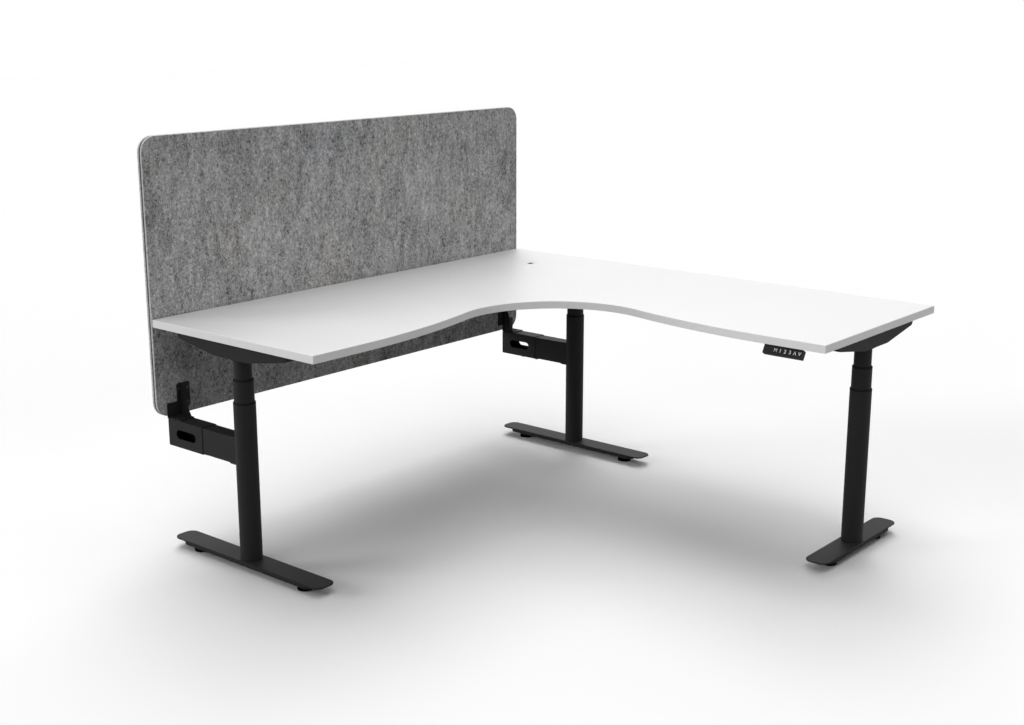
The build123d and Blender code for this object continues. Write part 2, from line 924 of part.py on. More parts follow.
def screen_bracket(name):
    x = column_places[name][0]
    side = arm_sides[name]
    low = sleeve_top
    top = low + plate_height
    step = low + plate_step_height
    notch = low + plate_notch_height
    cut = plate_corner_cut
    inner = sleeve_width / 2
    plate = Polygon(
        (-plate_step_left, low), (-plate_step_left, step - cut), (cut - plate_step_left, step),
        (plate_step_right, step), (plate_step_right, top - cut), (plate_step_right + cut, top),
        (plate_right - cut, top), (plate_right, top - cut), (plate_right, notch), (inner, notch),
        (inner, low), align=None)
    face = screen_front - plate_thickness
    bracket = upright(plate, face, screen_front)
    foot_high = low + plate_thickness
    half_foot = inner - bracket_foot_side_gap
    foot_front = screen_front - bracket_foot_depth
    bracket += block((-half_foot, foot_front, low), (half_foot, screen_front, foot_high))
    edge = [
        (screen_front - out * gusset_depth, low + up * plate_height) for out, up in gusset_edge_shares]
    gusset = Polygon(
        (face, foot_high), (screen_front - gusset_depth, foot_high), *edge,
        (face - gusset_tip_depth, top - cut), (face, top - cut), align=None)
    bracket += sideways(gusset, gusset_place, gusset_place + plate_thickness)
    if side < 0:
        bracket = mirror(bracket, Plane.YZ)
    bracket = Pos(x, 0, 0) * bracket
    for place in plate_screw_locations(name):
        bracket -= place * screen_screw_hole()
    for place in foot_bolt_locations(name):
        bracket -= place * foot_bolt_hole()
    return bracket


def foot_bolt_locations(name):
    x = column_places[name][0]
    row = screen_front - plate_thickness - foot_bolt_from_plate
    return [Pos(x + arm_sides[name] * column, row, 0) for column in foot_bolt_columns]


def foot_bolt_hole():
    return through_hole(screen_screw_diameter, sleeve_top - sleeve_wall, sleeve_top + plate_thickness)


def foot_bolt():
    seat = sleeve_top + plate_thickness
    head = disc(screen_screw_head_diameter, seat, seat + screen_screw_head_height)
    return head + disc(screen_screw_diameter, sleeve_top - sleeve_wall, seat)


def obround_through(length, height, centre_y, width):
    slot = Pos(centre_y, sleeve_mid) * SlotOverall(length, height)
    return sideways(slot, -width, width)


def set_screw_locations(name):
    x = column_places[name][0]
    first = screen_front - set_screw_from_end
    return [Pos(x, first - index * set_screw_spacing, 0) for index in (0, 1)]


def sleeve(name):
    x = column_places[name][0]
    front = screen_front - sleeve_length
    end = screen_front - sleeve_end_thickness
    tube = box_tube(sleeve_width, sleeve_height, sleeve_wall, front, end, sleeve_mid)
    half = sleeve_width / 2
    tube += block((-half, end, sleeve_low), (half, screen_front, sleeve_top))
    slot_middle = screen_front - sleeve_slot_from_end - sleeve_slot_length / 2
    tube -= obround_through(sleeve_slot_length, sleeve_slot_height, slot_middle, sleeve_width)
    tube = Pos(x, 0, 0) * tube
    for place in set_screw_locations(name):
        boss_low = sleeve_low - set_screw_boss_height
        tube += place * disc(set_screw_boss_diameter, boss_low, sleeve_low)
        tube -= place * through_hole(base_bolt_diameter, boss_low, sleeve_low + sleeve_wall)
    for place in foot_bolt_locations(name):
        tube -= place * foot_bolt_hole()
    return tube


def set_screw():
    tip = sleeve_low + sleeve_wall + slide_clearance - set_screw_gap
    return disc(base_bolt_diameter, sleeve_low - set_screw_boss_height, tip)


def arm_tube(name):
    x, y, _ = column_places[name]
    end = screen_front - arm_end_gap
    tube = box_tube(arm_width, arm_height, arm_wall, y, end, sleeve_mid)
    saddle_end = y + outer_tube_diameter / 2 + arm_saddle_length
    saddle_wall = arm_wall + slide_clearance + sleeve_wall
    tube += box_tube(sleeve_width, sleeve_height, saddle_wall, y, saddle_end, sleeve_mid)
    slot_middle = screen_front - sleeve_slot_from_end - sleeve_slot_length / 2
    tube -= obround_through(arm_slot_length, arm_slot_height, slot_middle, sleeve_width)
    tube = Pos(x, 0, 0) * tube
    return tube - Pos(x, y, 0) * disc(outer_tube_diameter + 2 * weld_gap, foot_top, outer_top)


# Screws kept together by the body that they hold

def foot_bolts():
    tip = base_disc_top
    bolt = bolt_down(base_bolt_diameter, base_bolt_head_diameter, base_bolt_head_height, skirt_top, tip)
    return [standing(name) * place * bolt for name in column_places for place in base_bolt_places()]


def wood_screw(thickness):
    seat = underside - thickness
    tip = underside + wood_screw_bite
    return bolt_down(wood_screw_diameter, wood_screw_head_diameter, wood_screw_head_height, seat, tip)


def frame_screws():
    screws = [
        standing(name) * Pos(x, y, 0) * wood_screw(bracket_wall)
        for name in column_places for x, y in bracket_screw_places()]
    screws += [Pos(x, y, 0) * wood_screw(handset_tab_thickness) for x, y in handset_screw_places()]
    screws += [Pos(x, y, 0) * wood_screw(control_lug_thickness) for x, y in control_screw_places()]
    for end in rail_ends():
        wall = rail_wall if end == "joint" else bracket_wall
        for place in rail_bolt_places(end):
            screws += [place * rail_bolt(), place * rail_nut(wall)]
    return screws


def screen_screws():
    screws = []
    for name in arm_sides:
        screws += [place * screen_screw() for place in plate_screw_locations(name)]
        screws += [place * foot_bolt() for place in foot_bolt_locations(name)]
        screws += [place * set_screw() for place in set_screw_locations(name)]
    return screws


# Every node with its solids

def all_nodes():
    nodes = {
        "worktop": worktop(),
        "edge_band": edge_band(),
        "grommet_liner": grommet_liner(),
        "grommet_cap": grommet_cap(),
        "back_rail": back_rail(),
        "side_rail": side_rail(),
        "control_box": control_box(),
        "handset_case": [handset_case(), handset_cover()],
        "front_felt": front_felt(),
        "screen_core": screen_core(),
        "back_felt": back_felt(),
        "foot_bolts": foot_bolts(),
        "frame_screws": frame_screws(),
        "screen_screws": screen_screws(),
        "outer_collars": [
            standing(name) * collar(outer_tube_diameter, outer_tube_wall, middle_tube_diameter, outer_top)
            for name in column_places],
        "spindle_posts": [standing(name) * spindle_post() for name in column_places],
        "inner_bushes": [standing(name) * inner_bush() for name in column_places],
        "drive_motors": [standing(name) * drive_motor() for name in column_places],
        "circuit_boards": [control_board(), handset_board()],
        "arm_tubes": [arm_tube(name) for name in arm_sides],
    }
    for name in column_places:
        nodes[f"foot_{name}"] = foot(name)
        nodes[f"outer_tube_{name}"] = standing(name) * outer_tube()
        nodes[f"middle_tube_{name}"] = standing(name) * middle_tube()
        nodes[f"middle_guides_{name}"] = [standing(name) * guide for guide in middle_guides()]
        nodes[f"inner_tube_{name}"] = standing(name) * inner_tube()
        nodes[f"upper_spindle_{name}"] = standing(name) * upper_spindle()
        nodes[f"hollow_spindle_{name}"] = standing(name) * hollow_spindle()
        nodes[f"top_bracket_{name}"] = placed_bracket(name)
    for name in arm_sides:
        nodes[f"sleeve_{name}"] = sleeve(name)
        nodes[f"screen_bracket_{name}"] = screen_bracket(name)
    for end in leveller_ends:
        nodes[f"leveller_{end}"] = leveller_location(end) * leveller()
    for name in button_names:
        nodes[f"button_{name}"] = handset_button(name)
    return nodes


def main():
    os.makedirs("parts", exist_ok=True)
    for name, shape in all_nodes().items():
        solids = shape if isinstance(shape, list) else [shape]
        kept = [solid for piece in solids for solid in piece.solids()]
        export_step(Compound(children=kept) if len(kept) > 1 else kept[0], f"parts/{name}.step")
        print(name, len(kept))


main()
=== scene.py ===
# %% [markdown]
# # Dressing a corner workstation
#
# This lesson dresses an L-shaped desk: a white worktop on three telescopic black columns,
# with a grey felt screen behind its back wing. The solids come from the CAD model and stay
# where they are. Where the real piece has a rounded arris, a fold or a soft edge that its
# solid lacks, a new piece of the same size is modelled here and stands for it.
# All lengths are metres. X runs along the back wing towards the corner, y towards the
# screen, and z up from the floor.

# %% Load the CAD model
import json
import math

import bmesh
import bpy
from mathutils import Matrix, Vector


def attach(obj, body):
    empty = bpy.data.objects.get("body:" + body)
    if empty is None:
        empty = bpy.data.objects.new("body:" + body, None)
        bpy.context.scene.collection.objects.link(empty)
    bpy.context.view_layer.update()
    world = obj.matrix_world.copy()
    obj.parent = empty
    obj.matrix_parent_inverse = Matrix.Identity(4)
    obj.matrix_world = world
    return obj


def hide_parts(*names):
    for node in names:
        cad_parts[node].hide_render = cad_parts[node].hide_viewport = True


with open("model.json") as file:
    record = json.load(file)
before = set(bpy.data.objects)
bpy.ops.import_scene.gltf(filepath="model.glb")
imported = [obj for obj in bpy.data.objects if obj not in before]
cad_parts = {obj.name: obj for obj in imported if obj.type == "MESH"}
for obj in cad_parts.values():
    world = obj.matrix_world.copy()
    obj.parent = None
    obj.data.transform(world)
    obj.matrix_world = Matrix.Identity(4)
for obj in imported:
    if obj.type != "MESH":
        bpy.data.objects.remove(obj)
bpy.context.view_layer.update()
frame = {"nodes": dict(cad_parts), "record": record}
print("CAD nodes:", len(frame["nodes"]))

# %% [markdown]
# ## The camera
# The desk was photographed from in front of the sitting place and to its left, a little
# above standing eye height. The camera's place was worked out beforehand from the
# worktop's edges, which are square to each other, so it is given here as a point and a
# direction. It is turned to look along that direction with the horizon level.

# %% Stand the camera where the photograph was taken
view_point = Vector((-3.52778, -2.80719, 1.72606))
view_direction = Vector((0.74271, 0.62432, -0.24209))

lens = bpy.data.cameras.new("photo_camera")
lens.lens = 49.94
lens.sensor_width = 36
camera = bpy.data.objects.new("photo_camera", lens)
camera.location = view_point
camera.rotation_euler = view_direction.to_track_quat("-Z", "Y").to_euler()
bpy.context.collection.objects.link(camera)
bpy.context.scene.camera = camera
bpy.context.scene.view_settings.view_transform = "Standard"
print("camera looks down by", round(math.degrees(math.asin(-view_direction.z)), 1), "degrees")

# %% [markdown]
# ## Writing finishes as sums
# A finish is a small net of shader nodes. Wiring each Math node by hand hides what is being
# worked out, so one class wraps a socket and lets it be added, taken away and multiplied as
# a number would be, and each sum adds its own Math node. A second class holds the material,
# and its one method adds any other node from its type, its settings and its inputs. The Mix
# node keeps sockets for every kind of value, so those for colours are named by their numbers.

# %% A wire that can be reckoned with, and a finish that holds the nodes
mix_share, mix_first, mix_second, mixed_colour = 0, 6, 7, 2


class Wire:
    def __init__(self, finish, socket):
        self.finish = finish
        self.socket = socket

    def reckon(self, operation, first, second):
        values = {0: first, 1: second}
        return self.finish.node("ShaderNodeMath", {"operation": operation}, values)

    def __add__(self, other):
        return self.reckon("ADD", self, other)

    def __radd__(self, other):
        return self.reckon("ADD", other, self)

    def __sub__(self, other):
        return self.reckon("SUBTRACT", self, other)

    def __rsub__(self, other):
        return self.reckon("SUBTRACT", other, self)

    def __mul__(self, other):
        return self.reckon("MULTIPLY", self, other)

    def __rmul__(self, other):
        return self.reckon("MULTIPLY", other, self)


class Finish:
    def __init__(self, name, **plain):
        self.material = bpy.data.materials.new(name)
        self.material.use_nodes = True
        self.tree = self.material.node_tree
        self.shader = self.tree.nodes["Principled BSDF"]
        for socket, value in plain.items():
            self.feed(self.shader.inputs[socket.replace("_", " ")], value)

    def feed(self, socket, value):
        if isinstance(value, Wire):
            self.tree.links.new(value.socket, socket)
        else:
            socket.default_value = value

    def node(self, kind, settings, inputs, output=0):
        made = self.tree.nodes.new(kind)
        for name, value in settings.items():
            if name == "stops":
                for stop, (place, colour) in zip(made.color_ramp.elements, value):
                    stop.position = place
                    stop.color = colour
            else:
                setattr(made, name, value)
        for name, value in inputs.items():
            self.feed(made.inputs[name], value)
        return Wire(self, made.outputs[output])

    def place(self, scale=(1, 1, 1)):
        spot = self.node("ShaderNodeTexCoord", {}, {}, "Object")
        return self.node("ShaderNodeMapping", {}, {"Vector": spot, "Scale": scale})

    def noise(self, scale, detail=2, roughness=0.5, distortion=0, stretch=(1, 1, 1)):
        sizes = {
            "Scale": scale, "Detail": detail, "Roughness": roughness, "Distortion": distortion}
        return self.node("ShaderNodeTexNoise", {}, {"Vector": self.place(stretch), **sizes})

    def between(self, share, dark, light):
        colours = {mix_share: share, mix_first: (*dark, 1), mix_second: (*light, 1)}
        return self.node("ShaderNodeMix", {"data_type": "RGBA"}, colours, mixed_colour)

    def colour(self, value):
        self.feed(self.shader.inputs["Base Color"], value)

    def roughness(self, value):
        self.feed(self.shader.inputs["Roughness"], value)

    def relief(self, height, strength, depth):
        sizes = {"Height": height, "Strength": strength, "Distance": depth}
        self.feed(self.shader.inputs["Normal"], self.node("ShaderNodeBump", {}, sizes))


screen_white, screen_gamma = 255, 2.2


def grey(level, warmth=0.0):
    """The linear colour of a screen grey from 0 to 255, a little warm or cool."""
    linear = (level / screen_white) ** screen_gamma
    return (linear * (1 + warmth), linear, linear * (1 - warmth))


finishes = {}
print("a mid grey of 128 is", round(grey(128)[0], 3))

# %% [markdown]
# ## White melamine and its edge band
# The worktop is faced with melamine paper pressed on a finely pitted plate, so light
# breaks up a little on it and no two hand-widths are quite as glossy. The colour hardly
# changes, and the pits are a fraction of a millimetre. The edge band is extruded plastic
# of the same white, with faint lines along the edge from the die. Its colour is set whiter
# than the top's as painted light, to brighten the edges that face the camera.

# %% Mix the whites
melamine = Finish("white_melamine", Specular_IOR_Level=0.45)
cloud = melamine.noise(3.2, detail=3)
melamine.colour(melamine.between(cloud, grey(228, 0.004), grey(232, 0.002)))
melamine.roughness(0.36 + cloud * 0.12)
melamine.relief(melamine.noise(1100, detail=3), 0.10, 0.0002)
finishes["white_melamine"] = melamine

band = Finish("white_edge", Specular_IOR_Level=0.9)
drawn = band.noise(40, detail=4, stretch=(1, 1, 60))
# These whiter greys are painted light on the edges that face the camera
band.colour(band.between(drawn, grey(249, 0.003), grey(253, 0.002)))
band.roughness(0.40 + drawn * 0.15)
band.relief(drawn, 0.08, 0.0002)
finishes["white_edge"] = band

fitting = Finish("white_plastic", Specular_IOR_Level=0.4)
spark = fitting.noise(1800, detail=2)
fitting.colour(fitting.between(fitting.noise(14), grey(228, 0.004), grey(233, 0.003)))
fitting.roughness(0.42 + spark * 0.12)
fitting.relief(spark, 0.12, 0.0001)
finishes["white_plastic"] = fitting
print("whites:", sorted(finishes))

# %% [markdown]
# ## Powder-coated steel and black plastic
# Powder coat melts into a skin with a fine grain, like orange peel seen from far off. It is
# nearly black but not quite matt, and where the powder lay thicker the grain is softer.
# Moulded plastic has a finer and drier grain, from the spark-eroded mould, and the plastic
# that the tubes slide in is duller still. The levelling feet stand on black rubber pads, and
# their colour is darker still as painted shade, for the deep shade under the feet.

# %% Mix the blacks
coat = Finish("black_steel", Specular_IOR_Level=0.12)
grain = coat.noise(1300, detail=3, roughness=0.6)
drift = coat.noise(7, detail=2)
coat.colour(coat.between(grain * 0.7 + drift * 0.3, grey(37), grey(44)))
coat.roughness(0.49 + grain * 0.12 + drift * 0.08)
coat.relief(grain, 0.22, 0.0002)
finishes["black_steel"] = coat

moulded = Finish("black_plastic", Specular_IOR_Level=0.17)
spark = moulded.noise(2400, detail=2)
moulded.colour(moulded.between(moulded.noise(22), grey(21), grey(27)))
moulded.roughness(0.50 + spark * 0.16)
moulded.relief(spark, 0.18, 0.0001)
finishes["black_plastic"] = moulded

glide = Finish("guide_plastic", Specular_IOR_Level=0.10)
glide.colour(glide.between(glide.noise(60, stretch=(1, 1, 12)), grey(28), grey(35)))
glide.roughness(0.70 + glide.noise(90) * 0.14)
finishes["guide_plastic"] = glide

# Black rubber made darker as painted shade, for the shade under the feet
pad_rubber_painted_shade = Finish("pad_rubber_painted_shade", Specular_IOR_Level=0.05)
pad_rubber_painted_shade.colour(pad_rubber_painted_shade.between(pad_rubber_painted_shade.noise(120), grey(7), grey(12)))
pad_rubber_painted_shade.roughness(0.80 + pad_rubber_painted_shade.noise(900) * 0.12)
finishes["pad_rubber_painted_shade"] = pad_rubber_painted_shade

rubber = Finish("key_rubber", Specular_IOR_Level=0.22)
rubber.colour(rubber.between(rubber.noise(300), grey(22), grey(28)))
rubber.roughness(0.62 + rubber.noise(2600) * 0.14)
rubber.relief(rubber.noise(2600), 0.10, 0.0001)
finishes["key_rubber"] = rubber

legend_ink = Finish("legend_ink", Specular_IOR_Level=0.3)
legend_ink.colour(legend_ink.between(legend_ink.noise(900), grey(215), grey(235)))
legend_ink.roughness(0.55 + legend_ink.noise(1500) * 0.1)
finishes["legend_ink"] = legend_ink
print("finishes so far:", len(finishes))

# %% [markdown]
# ## Pressed felt
# The screen's faces are sheets of pressed felt made of light and dark fibres. Close to, it
# is a tangle; from across a room it is peppered, with faint upright smears and slow clouds
# as wide as a hand, a little warmer here and cooler there, and now and then a dark fleck.
# A noise of each of those sizes is added, and the sum walks through a ramp of greys from
# dark fibre to light. The edges get the same felt in paler greys. This is painted highlight
# for the light that their rounded arris catches from above.

# %% Mix the felt, and its edge with painted highlight
fleck_reach = 0.05


def mix_felt(name, dark, light):
    felt = Finish(name, Specular_IOR_Level=0.12, Sheen_Weight=0.25, Sheen_Roughness=0.6)
    fibres = felt.noise(420, detail=4, roughness=0.75, distortion=0.6, stretch=(1, 1, 0.8))
    tufts = felt.noise(150, detail=3, roughness=0.6, distortion=1.1, stretch=(1, 1, 0.72))
    smears = felt.noise(34, detail=3, roughness=0.55, distortion=0.6, stretch=(1, 1, 0.35))
    clouds = felt.noise(6, detail=3, roughness=0.5, stretch=(1, 1, 0.7))
    fleck_grid = {"Vector": felt.place(), "Scale": 14}
    cells = felt.node("ShaderNodeTexVoronoi", {"feature": "F1"}, fleck_grid)
    flecks = felt.node("ShaderNodeMath", {"operation": "LESS_THAN"}, {0: cells, 1: fleck_reach})
    tone = 0.5 + (fibres - 0.5) * 1.1 + (tufts - 0.5) * 1.7 + (smears - 0.5) * 0.65
    tone = tone + (clouds - 0.5) * 0.35 - flecks * 0.35
    greys = ((0.08, (*grey(dark), 1)), (0.92, (*grey(light), 1)))
    plain = felt.node("ShaderNodeValToRGB", {"stops": greys}, {"Fac": tone})
    tint = felt.between(felt.noise(3.5, detail=2), (0.96, 0.99, 1.05), (1.04, 1.0, 0.95))
    blend = {"data_type": "RGBA", "blend_type": "MULTIPLY"}
    layers = {mix_share: 1.0, mix_first: plain, mix_second: tint}
    felt.colour(felt.node("ShaderNodeMix", blend, layers, mixed_colour))
    felt.roughness(0.86 + fibres * 0.12)
    felt.relief(fibres + tufts * 0.6, 0.4, 0.0007)
    return felt


finishes["grey_felt"] = mix_felt("grey_felt", 70, 235)
# The edge felt is paler as painted highlight, for the light the arris catches from above
finishes["felt_edge_painted_highlight"] = mix_felt("felt_edge_painted_highlight", 176, 250)

board_core = Finish("screen_core", Specular_IOR_Level=0.2)
layers = board_core.noise(240, detail=4, stretch=(1, 6, 1))
board_core.colour(board_core.between(layers, grey(58), grey(82)))
board_core.roughness(0.85 + layers * 0.1)
board_core.relief(layers, 0.3, 0.0005)
finishes["screen_core"] = board_core
print("felt nodes:", len(finishes["grey_felt"].tree.nodes))

# %% [markdown]
# ## Working steel, motor, board and screws
# Most of the lifting gear is hidden in the columns, but it is there, so it gets its own
# finishes. The lifting screws are rolled thread, which is a fine wave along their length
# rather than modelled turns, because they spin fast and nobody sees the start of a turn. A
# scale of 78.5 puts a ridge on them every 4 mm.

# %% Mix the metals and the circuit board
thread = Finish("spindle_steel", Metallic=1.0)
thread_waves = {"Vector": thread.place(), "Scale": 78.5}
turns = thread.node("ShaderNodeTexWave", {"bands_direction": "Z"}, thread_waves)
thread.colour(thread.between(turns, grey(120), grey(186)))
thread.roughness(0.42 - turns * 0.16)
thread.relief(turns, 0.8, 0.0012)
finishes["spindle_steel"] = thread

drawn_tube = Finish("post_steel", Metallic=1.0)
streak = drawn_tube.noise(60, detail=4, stretch=(6, 6, 0.2))
drawn_tube.colour(drawn_tube.between(streak, grey(146), grey(176)))
drawn_tube.roughness(0.30 + streak * 0.16)
finishes["post_steel"] = drawn_tube

motor_paint = Finish("motor_case", Specular_IOR_Level=0.4)
motor_paint.colour(motor_paint.between(motor_paint.noise(30), grey(66), grey(80)))
motor_paint.roughness(0.45 + motor_paint.noise(400) * 0.15)
finishes["motor_case"] = motor_paint

laminate = Finish("circuit_board", Specular_IOR_Level=0.5)
track_grid = {"Vector": laminate.place(), "Scale": 170}
track_width = 0.06
cells = laminate.node("ShaderNodeTexVoronoi", {"feature": "DISTANCE_TO_EDGE"}, track_grid)
tracks = laminate.node("ShaderNodeMath", {"operation": "LESS_THAN"}, {0: cells, 1: track_width})
laminate.colour(laminate.between(tracks, (0.008, 0.07, 0.025), (0.03, 0.20, 0.07)))
laminate.roughness(0.35 + tracks * 0.1)
finishes["circuit_board"] = laminate

zinc = Finish("dark_screws", Metallic=0.9)
blotch = zinc.noise(260, detail=3)
zinc.colour(zinc.between(blotch, grey(50), grey(72)))
zinc.roughness(0.34 + blotch * 0.2)
finishes["dark_screws"] = zinc
print("finishes:", len(finishes))

# %% [markdown]
# ## The CAD solids that stay
# Rails, control box, lifting gear, screen arms' plates and screws are right as they are and
# only need their finish. The record says which finish each node has. Only the lower collars
# are given another: the dull black of the upper ones, as in the photograph.

# %% Give every CAD node its finish
for entry in frame["record"]["subparts"]:
    solid = frame["nodes"][entry["node"]]
    slot = "guide_plastic" if entry["node"] == "outer_collars" else entry["material_slot"]
    finish = finishes[slot].material
    if not solid.material_slots:
        solid.data.materials.append(finish)
    for holder in solid.material_slots:
        holder.material = finish

# %% [markdown]
# ## Hands for modelling
# Blender's operators act on whatever is selected, and the CAD nodes are still selected
# after loading. So each helper clears the selection first, and faces and edges are picked
# in code by where they are and which way they face. A finished piece has its place in its
# mesh, and its object sits at the origin.

# %% Take hold of a piece, open it for editing and pick its parts
def clear_selection():
    bpy.ops.object.select_all(action="DESELECT")


def take(piece):
    clear_selection()
    piece.select_set(True)
    bpy.context.view_layer.objects.active = piece


def set_in_place(name):
    piece = bpy.context.object
    piece.name = name
    piece.data.name = name
    take(piece)
    bpy.ops.object.transform_apply(location=True, rotation=True, scale=True)
    return piece


def open_up(piece, kind="EDGE"):
    take(piece)
    bpy.ops.object.mode_set(mode="EDIT")
    bpy.ops.mesh.select_mode(type=kind)


def close_up():
    bpy.ops.object.mode_set(mode="OBJECT")


def middle(part):
    return sum((corner.co for corner in part.verts), Vector()) / len(part.verts)


def pick_faces(test):
    bpy.ops.mesh.select_all(action="DESELECT")
    shape = bmesh.from_edit_mesh(bpy.context.object.data)
    shape.normal_update()
    for face in shape.faces:
        face.select_set(bool(test(middle(face), face.normal)))
    bmesh.update_edit_mesh(bpy.context.object.data)


def pick_edges(test):
    bpy.ops.mesh.select_all(action="DESELECT")
    shape = bmesh.from_edit_mesh(bpy.context.object.data)
    for edge in shape.edges:
        run = (edge.verts[1].co - edge.verts[0].co).normalized()
        edge.select_set(bool(test(middle(edge), [abs(step) > 0.99 for step in run])))
    bmesh.update_edit_mesh(bpy.context.object.data)


def near(value, wanted, reach=0.0005):
    return abs(value - wanted) < reach


print("helpers ready")

# %% [markdown]
# A straight-sided piece starts as a block at its size and place. Its corners are rounded
# with bevel on picked edges, and a last fine bevel on every sharp edge catches the light as
# a real arris does. Weighted normals keep the large faces flat beside those fine bevels.

# %% Blocks, rounded corners and softened edges
def block(name, low, high):
    clear_selection()
    centre = [(a + b) / 2 for a, b in zip(low, high)]
    size = [b - a for a, b in zip(low, high)]
    bpy.ops.mesh.primitive_cube_add(size=1, location=centre, scale=size)
    return set_in_place(name)


def round_edges(piece, radius, steps, test):
    open_up(piece)
    pick_edges(test)
    bpy.ops.mesh.bevel(offset=radius, segments=steps, affect="EDGES")
    close_up()


def even_out(piece):
    take(piece)
    bpy.ops.object.shade_smooth_by_angle(angle=math.radians(50))
    shading = piece.modifiers.new("even_shading", "WEIGHTED_NORMAL")
    shading.keep_sharp = True
    shading.weight = 90
    bpy.ops.object.modifier_apply(modifier="even_shading")


def soften(piece, width, steps=2):
    take(piece)
    arris = piece.modifiers.new("arris", "BEVEL")
    arris.width = width
    arris.segments = steps
    arris.angle_limit = math.radians(40)
    bpy.ops.object.modifier_apply(modifier="arris")
    even_out(piece)


def cut(piece, cutter):
    take(piece)
    hole = piece.modifiers.new("hole", "BOOLEAN")
    hole.operation = "DIFFERENCE"
    hole.solver = "EXACT"
    hole.object = cutter
    bpy.ops.object.modifier_apply(modifier="hole")
    bpy.data.objects.remove(cutter, do_unlink=True)


def wall(piece, thickness):
    take(piece)
    sheet = piece.modifiers.new("wall", "SOLIDIFY")
    sheet.thickness = thickness
    sheet.offset = -1
    sheet.use_even_offset = True
    bpy.ops.object.modifier_apply(modifier="wall")


def join(piece, *others):
    take(piece)
    for other in others:
        other.select_set(True)
    bpy.ops.object.join()
    return piece


def copied(piece, name, move):
    twin = piece.copy()
    twin.data = piece.data.copy()
    twin.name = twin.data.name = name
    bpy.context.collection.objects.link(twin)
    twin.data.transform(move)
    return twin


def stand(x, y, turn=0):
    return Matrix.Translation((x, y, 0)) @ Matrix.Rotation(math.radians(turn), 4, "Z")


print("modelling tools ready")

# %% [markdown]
# A round piece is drawn as a turner would cut it: one ring is extruded from step to step
# of its profile and scaled to each radius in turn.

# %% Turn a round piece from its profile
def turned(name, centre, profile, steps=96, capped=False):
    x, y = centre
    radius, level = profile[0]
    clear_selection()
    bpy.ops.mesh.primitive_circle_add(vertices=steps, radius=radius, location=(x, y, level))
    piece = set_in_place(name)
    open_up(piece)
    bpy.ops.mesh.select_all(action="SELECT")
    for new_radius, new_level in profile[1:]:
        rise = (0, 0, new_level - level)
        bpy.ops.mesh.extrude_edges_move(TRANSFORM_OT_translate={"value": rise})
        share = new_radius / radius
        bpy.ops.transform.resize(value=(share, share, 1), center_override=(x, y, new_level))
        radius, level = new_radius, new_level
    bpy.ops.mesh.select_all(action="SELECT")
    bpy.ops.mesh.remove_doubles(threshold=0.00001)
    if capped:
        bpy.ops.mesh.fill_holes(sides=0)
        bpy.ops.mesh.select_all(action="SELECT")
    bpy.ops.mesh.normals_make_consistent(inside=False)
    close_up()
    return piece


def finish_piece(piece, finish, body, *nodes, slot=None):
    piece.data.materials.clear()
    piece.data.materials.append(finishes[finish].material)
    if nodes:
        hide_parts(*nodes)
    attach(piece, body)
    print(piece.name, "faces:", len(piece.data.polygons), "rides on", body)


print("turning and finishing ready")

# %% [markdown]
# ## The worktop's edge
# A plastic band 2 mm thick runs round the board. The front edge goes straight, swells out
# in a long slow curve on each wing and turns in round the sitting place. It could be cut
# out with booleans, but here one upright strip is led round the edge, as the band is on the
# real one: extruded along the straights, and spun round the centre of each bend.

# %% Lead an upright strip round the worktop
under_top, desk_level = 0.745, 0.770
left_end, right_edge = -0.900, 0.900
side_end, back_edge = -0.9125, 0.8875
wing_depth, straight_run = 0.750, 0.2016
band_thickness, band_arris = 0.002, 0.0009
waist_steps, sitting_steps = 28, 72
sitting_radius, waist_radius = 0.325, 2.09975
sitting_centre = Vector((-0.100, -0.1125, under_top))
back_waist = Vector((left_end + straight_run, back_edge - wing_depth + waist_radius, under_top))
side_waist = Vector(
    (right_edge - wing_depth + waist_radius, side_end + straight_run, under_top))
bend = math.asin((sitting_centre.x - back_waist.x) / (sitting_radius + waist_radius))


def push(x, y):
    bpy.ops.mesh.extrude_edges_move(TRANSFORM_OT_translate={"value": (x, y, 0)})


def swing(centre, angle, steps):
    bpy.ops.mesh.spin(steps=steps, angle=angle, center=centre, axis=(0, 0, -1))


def strip_round_edge(name, inset):
    left, front = left_end + inset, back_edge - wing_depth + inset
    right, back, near_end = right_edge - inset, back_edge - inset, side_end + inset
    length = back_waist.x - left
    clear_selection()
    bpy.ops.mesh.primitive_plane_add(
        size=1, rotation=(math.pi / 2, 0, 0),
        location=(left + length / 2, front, (under_top + desk_level) / 2))
    bpy.context.object.scale = (length, desk_level - under_top, 1)
    strip = set_in_place(name)
    open_up(strip)
    pick_edges(lambda spot, run: run[2] and near(spot.x, back_waist.x))
    swing(back_waist, bend, waist_steps)
    swing(sitting_centre, -(math.pi / 2 + 2 * bend), sitting_steps)
    swing(side_waist, bend, waist_steps)
    push(0, near_end - side_waist.y)
    push(right - (right_edge - wing_depth + inset), 0)
    push(0, back - near_end)
    push(left - right, 0)
    push(0, front - back)
    bpy.ops.mesh.select_all(action="SELECT")
    bpy.ops.mesh.remove_doubles(threshold=0.00002)
    bpy.ops.mesh.normals_make_consistent(inside=False)
    close_up()
    return strip


edge_strip = strip_round_edge("edge_strip", 0)
wall(edge_strip, band_thickness)
soften(edge_strip, band_arris, 3)
finish_piece(edge_strip, "white_edge", "desktop", "edge_band")

# %% [markdown]
# The board itself is the same strip, set in by the band's thickness and closed above and
# below. The grommet's hole is bored through it, with a shallow rebate for its flange.

